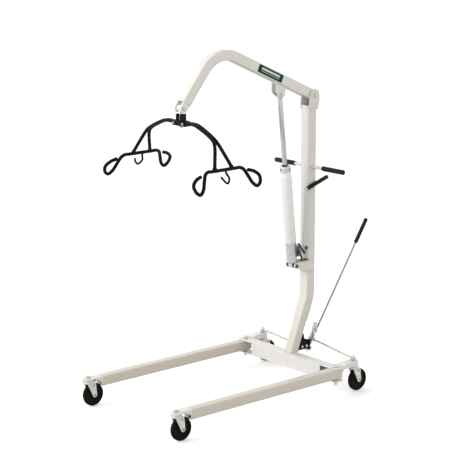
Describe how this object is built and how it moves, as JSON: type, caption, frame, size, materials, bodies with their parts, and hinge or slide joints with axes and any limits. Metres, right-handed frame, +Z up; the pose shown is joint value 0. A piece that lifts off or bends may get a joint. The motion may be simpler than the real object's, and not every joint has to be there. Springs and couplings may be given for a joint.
{
  "type": "patient lift hoist",
  "caption": "Manual hydraulic floor lift: spreading legs on casters, bent mast and boom raised by a hand pump, black swivel cradle with sling loops.",
  "frame": {"origin": "middle of the outline seen from above, on the floor under the casters", "axes": "+Z up, -Y to the open ends of the legs and the side the boom reaches over, +X to the side of the pump lever"},
  "size_m": [0.644, 1.1038, 1.5041],
  "materials": {
    "frame_paint": "smooth cream powder coat, semi gloss",
    "black_paint": "smooth black powder coat",
    "zinc": "bright zinc plate",
    "caster_zinc": "warm grey zinc plate, slightly dull",
    "dark_steel": "oiled dark steel",
    "piston": "polished hard chrome",
    "pump_white": "white gloss paint",
    "grip": "soft black vinyl",
    "tread": "black solid tread, matt",
    "lever_paint": "light grey paint",
    "rod_grey": "grey drawn bar",
    "brass": "turned brass"
  },
  "bodies": {
    "frame": {"cross_member": "frame_paint", "leg_pivot_bolt_left": "zinc", "leg_pivot_bolt_right": "zinc", "base_post": "frame_paint", "mast_tube": "frame_paint", "mast_head": "frame_paint", "boom_pivot_bolt": "zinc", "push_bar": "frame_paint", "push_grip_left": "grip", "push_grip_right": "grip", "shifter_bracket": "black_paint", "shifter_pivot_bolt": "zinc", "pump_bracket": "frame_paint", "pump_pivot_bolt": "zinc"},
    "leg_left_body": {"leg_left": "frame_paint", "front_bracket_left": "frame_paint", "rear_arm_left": "frame_paint", "stem_front_left": "zinc", "stem_rear_left": "zinc"},
    "leg_right_body": {"leg_right": "frame_paint", "front_bracket_right": "frame_paint", "rear_arm_right": "frame_paint", "stem_front_right": "zinc", "stem_rear_right": "zinc"},
    "shifter": {"shifter_crank": "black_paint", "shifter_flat": "zinc", "shifter_rod": "rod_grey", "shifter_grip": "grip"},
    "tie_left": {"tie_rod_left": "rod_grey"},
    "tie_right": {"tie_rod_right": "rod_grey"},
    "boom": {"boom_tube": "frame_paint", "boom_pump_bracket": "frame_paint", "rod_bolt_left": "zinc", "rod_bolt_right": "zinc", "boom_end_fork": "pump_white", "hang_pin": "zinc"},
    "hanger": {"swivel_link": "pump_white"},
    "cradle": {"cradle_hub": "black_paint", "hub_bolt_left": "zinc", "hub_bolt_right": "zinc", "sling_bar_left": "black_paint", "sling_bar_right": "black_paint", "cradle_arm_left": "black_paint", "cradle_arm_right": "black_paint"},
    "pump": {"pump_base": "zinc", "pump_cylinder": "pump_white", "pump_gland": "zinc", "lever_mount": "dark_steel"},
    "piston": {"piston_rod": "piston"},
    "lever": {"pump_lever": "lever_paint", "pump_lever_grip": "grip"},
    "valve": {"release_valve": "brass"},
    "caster_front_left": {"fork_front_left": "caster_zinc"},
    "roller_front_left": {"wheel_front_left": "tread"},
    "caster_rear_left": {"fork_rear_left": "caster_zinc"},
    "roller_rear_left": {"wheel_rear_left": "tread"},
    "caster_front_right": {"fork_front_right": "caster_zinc"},
    "roller_front_right": {"wheel_front_right": "tread"},
    "caster_rear_right": {"fork_rear_right": "caster_zinc"},
    "roller_rear_right": {"wheel_rear_right": "tread"}
  },
  "joints": [
    {"name": "leg_spread", "type": "hinge", "parent": "frame", "child": "shifter", "pos_m": [0, 0.481, 0.145], "axis": [0, -1, 0], "range_deg": [0, 53]},
    {"name": "leg_swing_right", "type": "hinge", "parent": "frame", "child": "leg_right_body", "pos_m": [0.293, 0.364, 0.1], "axis": [0, 0, 1], "range_deg": [0, 12.05]},
    {"name": "leg_swing_left", "type": "hinge", "parent": "frame", "child": "leg_left_body", "pos_m": [-0.293, 0.364, 0.1], "axis": [0, 0, 1], "range_deg": [-12.05, 0]},
    {"name": "tie_pivot_right", "type": "hinge", "parent": "leg_right_body", "child": "tie_right", "pos_m": [0.293, 0.47, 0.151], "axis": [0, 0, 1], "range_deg": [-12.05, 0]},
    {"name": "tie_pivot_left", "type": "hinge", "parent": "leg_left_body", "child": "tie_left", "pos_m": [-0.293, 0.47, 0.151], "axis": [0, 0, 1], "range_deg": [0, 12.05]},
    {"name": "boom_lift", "type": "hinge", "parent": "frame", "child": "boom", "pos_m": [0, 0.481, 1.27], "axis": [1, 0, 0], "range_deg": [0, 40]},
    {"name": "pump_tilt", "type": "hinge", "parent": "frame", "child": "pump", "pos_m": [0, 0.376, 0.527], "axis": [1, 0, 0], "range_deg": [-1.01, 0]},
    {"name": "piston_slide", "type": "slide", "parent": "pump", "child": "piston", "axis": [0, -0.1058, 0.9944], "range_m": [-0.1279, 0]},
    {"name": "hanger_swing", "type": "hinge", "parent": "boom", "child": "hanger", "pos_m": [0, -0.2508, 1.2828], "axis": [1, 0, 0], "range_deg": [-40.05, 0]},
    {"name": "cradle_swivel", "type": "hinge", "parent": "hanger", "child": "cradle", "pos_m": [0, -0.2508, 1.222], "axis": [0, 0, 1], "continuous": true},
    {"name": "pump_stroke", "type": "hinge", "parent": "pump", "child": "lever", "pos_m": [0.0355, 0.422, 0.604], "axis": [-1, 0, 0], "range_deg": [0, 40]},
    {"name": "valve_turn", "type": "hinge", "parent": "pump", "child": "valve", "pos_m": [0.038, 0.435, 0.549], "axis": [1, 0, 0], "range_deg": [0, 180]},
    {"name": "caster_swivel_front_left", "type": "hinge", "parent": "leg_left_body", "child": "caster_front_left", "pos_m": [-0.293, -0.527, 0.112], "axis": [0, 0, 1], "continuous": true},
    {"name": "wheel_roll_front_left", "type": "hinge", "parent": "caster_front_left", "child": "roller_front_left", "pos_m": [-0.293, -0.502, 0.05], "axis": [1, 0, 0], "continuous": true},
    {"name": "caster_swivel_rear_left", "type": "hinge", "parent": "leg_left_body", "child": "caster_rear_left", "pos_m": [-0.293, 0.47, 0.112], "axis": [0, 0, 1], "continuous": true},
    {"name": "wheel_roll_rear_left", "type": "hinge", "parent": "caster_rear_left", "child": "roller_rear_left", "pos_m": [-0.293, 0.495, 0.05], "axis": [1, 0, 0], "continuous": true},
    {"name": "caster_swivel_front_right", "type": "hinge", "parent": "leg_right_body", "child": "caster_front_right", "pos_m": [0.293, -0.527, 0.112], "axis": [0, 0, 1], "continuous": true},
    {"name": "wheel_roll_front_right", "type": "hinge", "parent": "caster_front_right", "child": "roller_front_right", "pos_m": [0.293, -0.502, 0.05], "axis": [1, 0, 0], "continuous": true},
    {"name": "caster_swivel_rear_right", "type": "hinge", "parent": "leg_right_body", "child": "caster_rear_right", "pos_m": [0.293, 0.47, 0.112], "axis": [0, 0, 1], "continuous": true},
    {"name": "wheel_roll_rear_right", "type": "hinge", "parent": "caster_rear_right", "child": "roller_rear_right", "pos_m": [0.293, 0.495, 0.05], "axis": [1, 0, 0], "continuous": true}
  ],
  "couplings": [
    {"joint": "leg_swing_right", "follows": "leg_spread", "ratio": 0.22645},
    {"joint": "leg_swing_left", "follows": "leg_spread", "ratio": -0.22645},
    {"joint": "tie_pivot_right", "follows": "leg_spread", "ratio": -0.22645},
    {"joint": "tie_pivot_left", "follows": "leg_spread", "ratio": 0.22645},
    {"joint": "pump_tilt", "follows": "boom_lift", "ratio": -0.0239},
    {"joint": "piston_slide", "follows": "boom_lift", "m_per_rad": -0.18249},
    {"joint": "hanger_swing", "follows": "boom_lift", "ratio": -1}
  ]
}
